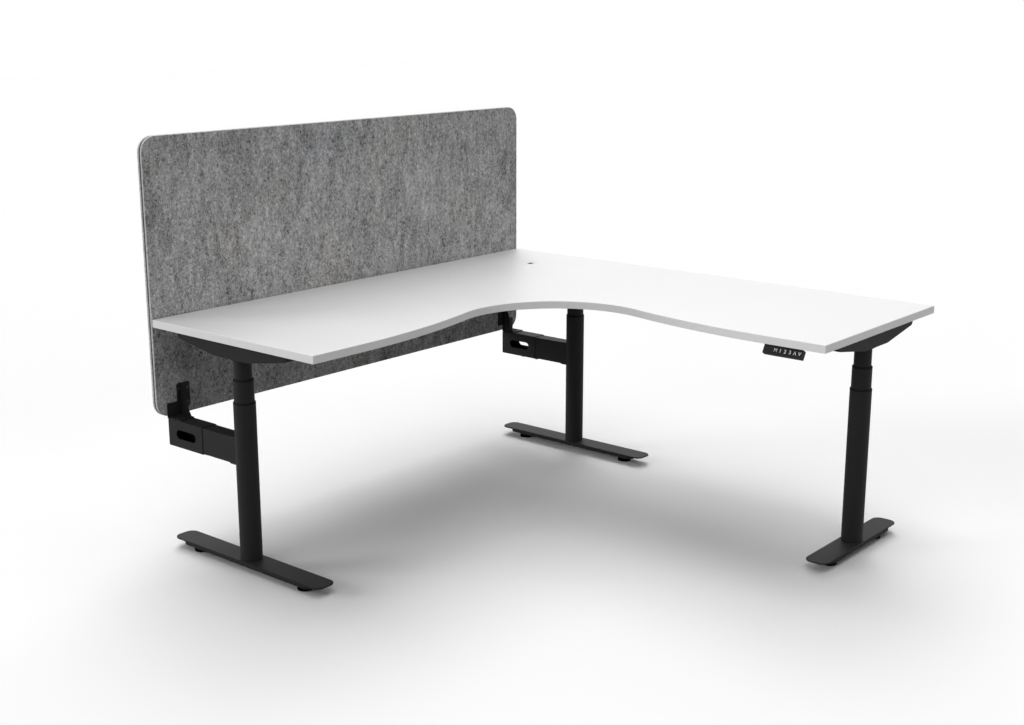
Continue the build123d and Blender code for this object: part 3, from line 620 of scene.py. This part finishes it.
# %% Close the board and bore the grommet's hole
grommet_x, grommet_y = 0.664, 0.6515
hole_radius, rebate_radius, rebate_level = 0.040, 0.0484, 0.7675
board = strip_round_edge("worktop_board", band_thickness)
open_up(board)
for level in (under_top, desk_level):
    pick_edges(lambda spot, run: near(spot.z, level, 0.0001))
    bpy.ops.mesh.edge_face_add()
bpy.ops.mesh.select_all(action="SELECT")
bpy.ops.mesh.normals_make_consistent(inside=False)
close_up()
bore = (
    (hole_radius, 0.740), (hole_radius, rebate_level), (rebate_radius, rebate_level),
    (rebate_radius, 0.775))
cut(board, turned("bore", (grommet_x, grommet_y), bore, capped=True))
even_out(board)
finish_piece(board, "white_melamine", "desktop", "worktop")

# %% [markdown]
# ## The cable grommet
# A liner drops into the hole, with its flange flush in the rebate, and a cap lies in it on a
# ledge. The cap has a notch for cables and can be turned by hand. Both are moulded in the
# worktop's white, so on the real desk only the notch and two hair lines show.

# %% Turn the liner, then cut the notch in the cap
flange_radius, recess_radius = 0.048, 0.0384
barrel_outside, barrel_inside, barrel_low = 0.0397, 0.0377, 0.740
ledge_radius, ledge_low, ledge_level = 0.0344, 0.7639, 0.7659
liner_profile = (
    (recess_radius, desk_level), (flange_radius, desk_level), (flange_radius, rebate_level),
    (barrel_outside, rebate_level), (barrel_outside, barrel_low), (barrel_inside, barrel_low),
    (barrel_inside, ledge_low), (ledge_radius, ledge_low), (ledge_radius, ledge_level),
    (recess_radius, ledge_level), (recess_radius, desk_level))
liner = turned("grommet_ring", (grommet_x, grommet_y), liner_profile)
soften(liner, 0.0004)
finish_piece(liner, "white_plastic", "desktop", "grommet_liner")

cap_radius, cap_low = 0.038, 0.766
cap_profile = ((cap_radius, cap_low), (cap_radius, desk_level))
cap = turned("grommet_lid", (grommet_x, grommet_y), cap_profile, capped=True)
notch_left, notch_right, notch_end, notch_radius = 0.652, 0.676, 0.6335, 0.0119
notch = block("notch", (notch_left, 0.600, 0.760), (notch_right, notch_end, 0.775))
round_edges(notch, notch_radius, 12, lambda spot, run: run[2] and spot.y > 0.63)
cut(cap, notch)
soften(cap, 0.0005)
finish_piece(cap, "white_plastic", "grommet_cap", "grommet_cap")

# %% [markdown]
# ## The felt screen
# Two sheets of felt 8 mm thick are glued on a stiff dark core that stops 2 mm short of
# their edges. Scissors or a knife leave the felt's edge soft, so each sheet is a block whose
# four corners are rounded, and then its arris, deeply enough to catch the light from above.

# %% Cut the two felt sheets
screen_left, screen_right, screen_low, screen_high = -0.900, 0.900, 0.443, 1.343
screen_corner, felt_arris = 0.050, 0.0016
felt_faces = {"front_felt": (0.8905, 0.8985), "back_felt": (0.9045, 0.9125)}
for name, (near_face, far_face) in felt_faces.items():
    low = (screen_left, near_face, screen_low)
    high = (screen_right, far_face, screen_high)
    sheet = block(name + "_sheet", low, high)
    round_edges(sheet, screen_corner, 18, lambda spot, run: run[1])
    soften(sheet, felt_arris, 4)
    finish_piece(sheet, "grey_felt", "screen", name)
    # Faces that do not look along y take the paler felt, as painted highlight on the edges
    sheet.data.materials.append(finishes["felt_edge_painted_highlight"].material)
    for face in sheet.data.polygons:
        face.material_index = int(abs(face.normal.y) < 0.9)

# %% [markdown]
# ## The feet
# Each foot is a flat steel plate with round ends on a narrower skirt that stiffens it, and
# bored bosses under the plate take the stems of the levelling feet. The bore goes on into the
# plate, so a stem has room when its foot is screwed right in. The long foot is made once and
# copied, and the short one stands crosswise under the side wing.

# %% Plate, skirt and bosses of a foot
plate_half_width, plate_low, plate_high, plate_corner = 0.040, 0.031, 0.036, 0.028
skirt_half_width, skirt_low, skirt_high, skirt_corner = 0.038, 0.020, 0.0312, 0.026
skirt_set_back, skirt_wall, skirt_hollow = 0.043, 0.004, 0.0107
stem_set_back, bore_radius, bore_low, bore_top = 0.100, 0.0042, 0.015, 0.0335
boss_radius, boss_chamfer = 0.011, 0.0005


def foot(name, length):
    half = length / 2
    stems = [(0, side * (half - stem_set_back)) for side in (-1, 1)]
    plate = block(
        name, (-plate_half_width, -half, plate_low), (plate_half_width, half, plate_high))
    round_edges(plate, plate_corner, 12, lambda spot, run: run[2])
    soften(plate, 0.0012, 3)
    low = (-skirt_half_width, skirt_set_back - half, skirt_low)
    high = (skirt_half_width, half - skirt_set_back, skirt_high)
    skirt = block("skirt", low, high)
    round_edges(skirt, skirt_corner, 12, lambda spot, run: run[2])
    open_up(skirt, "FACE")
    pick_faces(lambda spot, way: way.z < -0.9)
    bpy.ops.mesh.inset(thickness=skirt_wall)
    bpy.ops.mesh.extrude_region_move(TRANSFORM_OT_translate={"value": (0, 0, skirt_hollow)})
    close_up()
    soften(skirt, 0.0005)
    hole_profile = ((bore_radius, bore_low), (bore_radius, bore_top))
    for piece in (plate, skirt):
        cut(piece, join(*(turned("hole", stem, hole_profile, 48, True) for stem in stems)))
        even_out(piece)
    boss_profile = (
        (bore_radius, skirt_low), (boss_radius - boss_chamfer, skirt_low),
        (boss_radius, skirt_low + boss_chamfer), (boss_radius, skirt_high),
        (bore_radius, skirt_high), (bore_radius, skirt_low))
    bosses = [turned("boss", stem, boss_profile, 48) for stem in stems]
    for boss in bosses:
        even_out(boss)
    return join(plate, skirt, *bosses)


columns = {
    "left": (-0.830, 0.5375, 0), "corner": (0.840, 0.5375, 0), "right": (0.540, -0.8425, 90)}
long_foot = foot("long_foot", 0.700)
short_foot = foot("short_foot", 0.508)
for name, place in columns.items():
    pattern = short_foot if name == "right" else long_foot
    piece = copied(pattern, f"foot_casting_{name}", stand(*place))
    finish_piece(piece, "black_steel", "base", f"foot_{name}")
for pattern in (long_foot, short_foot):
    bpy.data.objects.remove(pattern, do_unlink=True)

# %% [markdown]
# ## The levelling feet
# A levelling foot is a moulded pad, a hexagon for the spanner and a threaded stem. The
# thread is cut as rings, which look the same as a real thread at this size.

# %% Make one levelling foot and stand six
pad_profile = (
    (0.0215, 0.0), (0.0240, 0.0004), (0.0250, 0.0016), (0.0250, 0.0070), (0.0242, 0.0084),
    (0.0225, 0.0090), (0.0160, 0.0090))
leveller = turned("leveller_pattern", (0, 0), pad_profile, 64, True)
even_out(leveller)
hexagon_radius, hexagon_height, hexagon_middle = 0.0127, 0.005, 0.0115
clear_selection()
bpy.ops.mesh.primitive_cylinder_add(
    vertices=6, radius=hexagon_radius, depth=hexagon_height, location=(0, 0, hexagon_middle))
spanner_hexagon = set_in_place("spanner_hexagon")
soften(spanner_hexagon, 0.0006)
core_radius, crest_radius = 0.0036, 0.0040
stem_low, thread_low, pitch, turns_of_thread = 0.0135, 0.0140, 0.00125, 11
stem_profile = [(core_radius, stem_low)]
for turn in range(turns_of_thread):
    low = thread_low + turn * pitch
    stem_profile += [
        (crest_radius, low + 0.0003), (crest_radius, low + 0.0006),
        (core_radius, low + 0.00095)]
stem = turned("stem", (0, 0), stem_profile, 32, True)
join(leveller, spanner_hexagon, stem)
leveller_places = {
    "left_back": (-0.830, 0.7875), "left_front": (-0.830, 0.2875),
    "corner_back": (0.840, 0.7875), "corner_front": (0.840, 0.2875),
    "right_inner": (0.386, -0.8425), "right_outer": (0.694, -0.8425),
}
for name, place in leveller_places.items():
    piece = copied(leveller, f"levelling_foot_{name}", stand(*place))
    body = node = f"leveller_{name}"
    # The pads' finish carries painted shade under each foot
    finish_piece(piece, "pad_rubber_painted_shade", body, node, slot="black_plastic")
bpy.data.objects.remove(leveller, do_unlink=True)

# %% [markdown]
# ## The columns
# Each column is three round tubes, one in the other, with a plastic collar where each slides
# out of the next. The tubes are turned from their profiles. The collars are CAD nodes and
# stay.

# %% Turn the nine tubes
end_chamfer = 0.0004


def tube(name, place, inside, outside, low, high):
    profile = (
        (inside, low), (outside - end_chamfer, low), (outside, low + end_chamfer),
        (outside, high), (inside, high), (inside, low))
    piece = turned(name, place[:2], profile, 128)
    even_out(piece)
    return piece


# Each tube's inner and outer radius, and the heights of its lower and upper end
tubes = {
    "outer": (0.0332, 0.0350, 0.036, 0.545),
    "middle": (0.0300, 0.0320, 0.113, 0.618),
    "inner": (0.0260, 0.0280, 0.187, 0.735),
}
for name, place in columns.items():
    bodies = {"outer": "base", "middle": f"middle_{name}", "inner": "desktop"}
    for which, measures in tubes.items():
        piece = tube(f"{which}_column_{name}", place, *measures)
        finish_piece(piece, "black_steel", bodies[which], f"{which}_tube_{name}")

# %% [markdown]
# ## The beams under the worktop
# A beam is folded from 3 mm sheet: deep in the middle, where the column's hub is welded on,
# and rising to thin tips. A block is cut across where the slopes start, the lower end edges
# are lifted and the tips rounded. The sloping faces are left open, as on the real one, and
# Solidify gives the folded sheet its thickness.

# %% Fold one beam and hang three
beam_half_width, beam_half_length, beam_low = 0.045, 0.255, 0.691
slope_start, slope_end, tip_rise, tip_radius = 0.078, 0.240, 0.030, 0.010
sheet_thickness = 0.003
beam = block(
    "beam", (-beam_half_width, -beam_half_length, beam_low),
    (beam_half_width, beam_half_length, under_top))


def pick_lower_end_edges(height):
    pick_edges(lambda spot, run: (
        run[0] and near(abs(spot.y), beam_half_length) and near(spot.z, height)))


open_up(beam)
for start in (-slope_start, slope_start):
    bpy.ops.mesh.select_all(action="SELECT")
    bpy.ops.mesh.bisect(plane_co=(0, start, 0), plane_no=(0, 1, 0))
pick_lower_end_edges(beam_low)
bpy.ops.transform.translate(value=(0, 0, tip_rise))
pick_lower_end_edges(beam_low + tip_rise)
bpy.ops.mesh.bevel(offset=tip_radius, segments=8, affect="EDGES")
bpy.ops.mesh.select_mode(type="FACE")
pick_faces(lambda spot, way: way.z < -0.9 and slope_start < abs(spot.y) < slope_end)
bpy.ops.mesh.delete(type="FACE")
close_up()
wall(beam, sheet_thickness)
soften(beam, 0.0008)
hub_inside, hub_radius, hub_chamfer, hub_low, hub_high = 0.0281, 0.036, 0.0005, 0.685, 0.6915
hub_profile = (
    (hub_inside, hub_low), (hub_radius - hub_chamfer, hub_low),
    (hub_radius, hub_low + hub_chamfer), (hub_radius, hub_high), (hub_inside, hub_high),
    (hub_inside, hub_low))
hub = turned("hub", (0, 0), hub_profile)
even_out(hub)
join(beam, hub)
for name, place in columns.items():
    piece = copied(beam, f"beam_{name}", stand(*place))
    finish_piece(piece, "black_steel", "desktop", f"top_bracket_{name}")
bpy.data.objects.remove(beam, do_unlink=True)

# %% [markdown]
# ## The screen's arms
# An arm is a rectangular tube that clasps the column, and a sleeve slides on it and carries
# the screen. Both have a long slot through their walls, so daylight shows through. The
# sleeve is a block hollowed from its open end, the slot a block with round ends, and two
# bosses below take the clamping screws.

# %% Hollow the sleeves and cut their slots
arms = {"left": -0.830, "corner": 0.840}
clasp_half_width, clasp_low, clasp_high, clasp_corner = 0.030, 0.3465, 0.4375, 0.004
sleeve_front, sleeve_back, sleeve_wall, sleeve_hollow = 0.7195, 0.8905, 0.0017, 0.169
screw_boss_profile = ((0.0070, 0.3385), (0.0080, 0.3391), (0.0080, 0.3470))
screw_boss_places = (0.8025, 0.7325)
sleeve_slot = (0.7525, 0.8505, 0.377, 0.407)


def slot_cutter(x, front, back, low, high):
    cutter = block("slot", (x - 0.05, front, low), (x + 0.05, back, high))
    round_edges(cutter, (high - low) / 2 - 0.00001, 14, lambda spot, run: run[0])
    return cutter


for name, x in arms.items():
    sleeve = block(
        f"arm_sleeve_{name}", (x - clasp_half_width, sleeve_front, clasp_low),
        (x + clasp_half_width, sleeve_back, clasp_high))
    round_edges(sleeve, clasp_corner, 5, lambda spot, run: run[1])
    open_up(sleeve, "FACE")
    pick_faces(lambda spot, way: way.y < -0.9)
    bpy.ops.mesh.inset(thickness=sleeve_wall)
    bpy.ops.mesh.extrude_region_move(TRANSFORM_OT_translate={"value": (0, sleeve_hollow, 0)})
    close_up()
    cut(sleeve, slot_cutter(x, *sleeve_slot))
    soften(sleeve, 0.0005)
    bosses = [
        turned("boss", (x, y), screw_boss_profile, 48, True) for y in screw_boss_places]
    for boss in bosses:
        even_out(boss)
    join(sleeve, *bosses)
    finish_piece(sleeve, "black_steel", "screen", f"sleeve_{name}")

# %% [markdown]
# The arm inside is an open tube. Its saddle, a little larger, is notched to the column, which
# a round cutter does just as the tube mill does on the real one.

# %% Make the two arms as one piece
arm_start, arm_end, arm_wall = 0.5375, 0.8725, 0.0025
arm_half_width, arm_low, arm_high = 0.028, 0.3485, 0.4355
arm_slot = (0.7405, 0.8625, 0.372, 0.412)
saddle_end, column_radius = 0.5845, 0.03505


def arm(x):
    bar = block(
        "bar", (x - arm_half_width, arm_start, arm_low),
        (x + arm_half_width, arm_end, arm_high))
    round_edges(bar, clasp_corner, 5, lambda spot, run: run[1])
    open_up(bar, "FACE")
    pick_faces(lambda spot, way: abs(way.y) > 0.9)
    bpy.ops.mesh.delete(type="FACE")
    close_up()
    wall(bar, arm_wall)
    cut(bar, slot_cutter(x, *arm_slot))
    saddle = block(
        "saddle", (x - clasp_half_width, arm_start, clasp_low),
        (x + clasp_half_width, saddle_end, clasp_high))
    round_edges(saddle, clasp_corner, 5, lambda spot, run: run[1])
    column_profile = ((column_radius, 0.30), (column_radius, 0.48))
    for piece in (bar, saddle):
        cut(piece, turned("column", (x, arm_start), column_profile, capped=True))
        soften(piece, 0.0005)
    return join(bar, saddle)


arm_pair = join(*(arm(x) for x in arms.values()))
arm_pair.name = arm_pair.data.name = "arm_pair"
finish_piece(arm_pair, "black_steel", "base", "arm_tubes")

# %% [markdown]
# ## The handset
# The handset hangs under the side wing's front edge, and its face looks a little upwards, at
# the person sitting there. It is a flat box, so it is modelled lying down, with a pocket for
# each key so that a key can go in when it is pressed, and only then turned and hung in its
# place. A neck with a tab, further back under the desk, takes the screws.

# %% A frame of reference on the handset's face
handset_length, handset_height, handset_depth = 0.1315, 0.0285, 0.0175
tilt = math.radians(29)
face_right = Vector((0, -1, 0))
face_up = Vector((math.sin(tilt), 0, math.cos(tilt)))
face_out = face_right.cross(face_up)
face_centre = Vector((0.155, -0.773, 0.7442)) - face_up * handset_height / 2
face_turn = Matrix((face_right, face_up, face_out)).transposed().to_4x4()


def on_face(along=0.0, out=0.0):
    return Matrix.Translation(face_centre) @ face_turn @ Matrix.Translation((along, 0, out))


first_key, key_step = 0.0415, 0.0162
key_places = {
    name: first_key - handset_length / 2 + index * key_step
    for index, name in enumerate(("memory", "one", "two", "three", "up", "down"))}
print("the face looks along", [round(value, 3) for value in face_out])

# %% Model the case with its key pockets
half_length, half_height = handset_length / 2, handset_height / 2
case_corner, pocket_corner, tab_corner = 0.0015, 0.00225, 0.005
case = block(
    "handset_shell", (-half_length, -half_height, -handset_depth),
    (half_length, half_height, 0))
round_edges(case, case_corner, 5, lambda spot, run: run[2])
pocket_half_width, pocket_half_height, pocket_floor = 0.00625, 0.00875, -0.0047
pocket = block(
    "pocket", (-pocket_half_width, -pocket_half_height, pocket_floor),
    (pocket_half_width, pocket_half_height, 0.002))
round_edges(pocket, pocket_corner, 5, lambda spot, run: run[2])
pockets = join(*(
    copied(pocket, f"pocket_{name}", Matrix.Translation((along, 0, 0)))
    for name, along in key_places.items()))
cut(case, pockets)
bpy.data.objects.remove(pocket, do_unlink=True)
seam_half_length, seam_half_height, lid_gap, lid_level = 0.06475, 0.01325, 0.0002, -0.0160
seam = block(
    "seam", (-seam_half_length, -seam_half_height, -0.0185),
    (seam_half_length, seam_half_height, lid_level))
cut(case, seam)
soften(case, 0.0006, 3)
lid_half_length, lid_half_height = seam_half_length - lid_gap, seam_half_height - lid_gap
lid = block(
    "lid", (-lid_half_length, -lid_half_height, -handset_depth),
    (lid_half_length, lid_half_height, lid_level))
soften(lid, 0.0003)
join(case, lid)
case.data.transform(on_face())
neck_near, neck_far, tab_low = -0.819, -0.727, 0.741
neck = block("neck", (0.158, neck_near, 0.7355), (0.169, neck_far, under_top))
tab = block("tab", (0.1685, neck_near, tab_low), (0.197, neck_far, under_top))
round_edges(tab, tab_corner, 6, lambda spot, run: run[2] and spot.x > 0.19)
for piece in (neck, tab):
    soften(piece, 0.0004)
join(case, neck, tab)
finish_piece(case, "black_plastic", "desktop", "handset_case")

# %% [markdown]
# The keys are soft caps with a shallow dish for the fingertip. One is modelled flat and
# copied to its place on the sloping face. The legends are printed: M for memory, three
# numbers, and an arrow head each way, made from a capital V. They are set a little bolder
# than the typeface, apart from the M, whose strokes would run into each other.

# %% One key, six copies
key_half_width, key_half_height, key_foot, key_top = 0.0060, 0.0085, -0.0036, 0.0004
key_corner, key_rim, key_dish = 0.0020, 0.0012, 0.00015
key = block(
    "key", (-key_half_width, -key_half_height, key_foot),
    (key_half_width, key_half_height, key_top))
round_edges(key, key_corner, 6, lambda spot, run: run[2])
open_up(key, "FACE")
pick_faces(lambda spot, way: way.z > 0.9)
bpy.ops.mesh.inset(thickness=key_rim)
bpy.ops.mesh.extrude_region_move(TRANSFORM_OT_translate={"value": (0, 0, -key_dish)})
close_up()
soften(key, 0.0003, 3)
for name, along in key_places.items():
    piece = copied(key, f"key_{name}", on_face(along))
    finish_piece(piece, "key_rubber", f"button_{name}", f"button_{name}")
bpy.data.objects.remove(key, do_unlink=True)


# %% Print the legends
legend_height, legend_level, ink_depth, bolder = 0.0115, 0.00029, 0.00003, 0.012


def legend(name, text, along, flipped=False):
    clear_selection()
    bpy.ops.object.text_add(location=(0, 0, 0))
    words = bpy.context.object
    words.data.body = text
    words.data.extrude = ink_depth
    words.data.offset = 0 if text == "M" else bolder
    bpy.ops.object.convert(target="MESH")
    piece = set_in_place(f"legend_{name}")
    corners = [corner.co for corner in piece.data.vertices]
    low = Vector(min(corner[axis] for corner in corners) for axis in range(3))
    high = Vector(max(corner[axis] for corner in corners) for axis in range(3))
    size = legend_height / (high.y - low.y)
    centred = Matrix.Translation(-(low + high) / 2)
    sized = Matrix.Diagonal((size, size, 1, 1))
    turned_over = Matrix.Rotation(math.pi if flipped else 0, 4, "Z")
    piece.data.transform(on_face(along, legend_level) @ turned_over @ sized @ centred)
    finish_piece(piece, "legend_ink", f"button_{name}", slot="key_rubber")


texts = {"memory": "M", "one": "1", "two": "2", "three": "3", "up": "V", "down": "V"}
for name, text in texts.items():
    legend(name, text, key_places[name], flipped=name == "up")

# %% [markdown]
# ## Floor, background and light
# The desk stands on a white floor that runs out into white, with only its own soft shadow
# on it. Floor and sky are white for the camera and in reflections. For everything else the
# floor is a plain, softer white and the sky is dark, so that they do not wash the desk out.
# The shadow in the photograph leans towards the camera, with a soft second one to the
# right, which is how a studio looks with two wide banks of light high behind the desk, a low
# one behind its left end, and weaker ones overhead, at its left and in front. Each bank is a
# broad sun. Together they light a flat white sheet just to white.

# %% Lay the floor
floor_size, floor_level = 60, -0.0002
floor_bounce, pure_white = (0.24, 0.24, 0.24), (1.0, 1.0, 1.0)
clear_selection()
bpy.ops.mesh.primitive_plane_add(size=floor_size, location=(0, 0, floor_level))
floor = set_in_place("floor")
floor_paint = Finish("floor_paint", Specular_IOR_Level=0.0, Roughness=1.0)
seen = floor_paint.node("ShaderNodeLightPath", {}, {}, "Is Camera Ray")
shiny = floor_paint.node("ShaderNodeLightPath", {}, {}, "Is Glossy Ray")
floor_paint.colour(floor_paint.between(seen + shiny, floor_bounce, pure_white))
floor.data.materials.append(floor_paint.material)
print("floor:", floor_size, "metres square")

# %% Paint the room behind it
room = bpy.data.worlds.new("white_room")
room.use_nodes = True
bpy.context.scene.world = room
net = room.node_tree
rays = net.nodes.new("ShaderNodeLightPath")
seen_or_mirrored = net.nodes.new("ShaderNodeMath")
seen_or_mirrored.operation = "MAXIMUM"
net.links.new(rays.outputs["Is Camera Ray"], seen_or_mirrored.inputs[0])
net.links.new(rays.outputs["Is Glossy Ray"], seen_or_mirrored.inputs[1])
net.links.new(seen_or_mirrored.outputs[0], net.nodes["Background"].inputs["Strength"])
net.nodes["Background"].inputs["Color"].default_value = (*pure_white, 1)
print("room:", room.name)

# %% Hang the banks of light
# Each bank's compass angle, height and width in degrees, and its share of the light
light_banks = {
    "high_behind": (49, 63, 45, 0.389),
    "middle_behind": (40, 39, 35, 0.207),
    "low_behind_left": (135, 17, 24, 0.307),
    "high_front_left": (215, 58, 40, 0.166),
    "overhead": (0, 90, 30, 0.154),
    "low_front": (270, 20, 40, 0.110),
    "low_left": (180, 15, 40, 0.159),
    "high_front_right": (320, 60, 35, 0.068),
}
on_flat_sheet = 0
for name, (compass, height, width, share) in light_banks.items():
    lamp = bpy.data.lights.new(name, "SUN")
    lamp.energy = math.pi * share
    lamp.angle = math.radians(width)
    turn, tilt_up = math.radians(compass), math.radians(height)
    across, up = math.cos(tilt_up), math.sin(tilt_up)
    way = Vector((across * math.cos(turn), across * math.sin(turn), up))
    bank = bpy.data.objects.new(name, lamp)
    bank.rotation_euler = way.to_track_quat("Z", "Y").to_euler()
    bpy.context.collection.objects.link(bank)
    on_flat_sheet += share * up
print("light on a flat white sheet:", round(on_flat_sheet, 2))
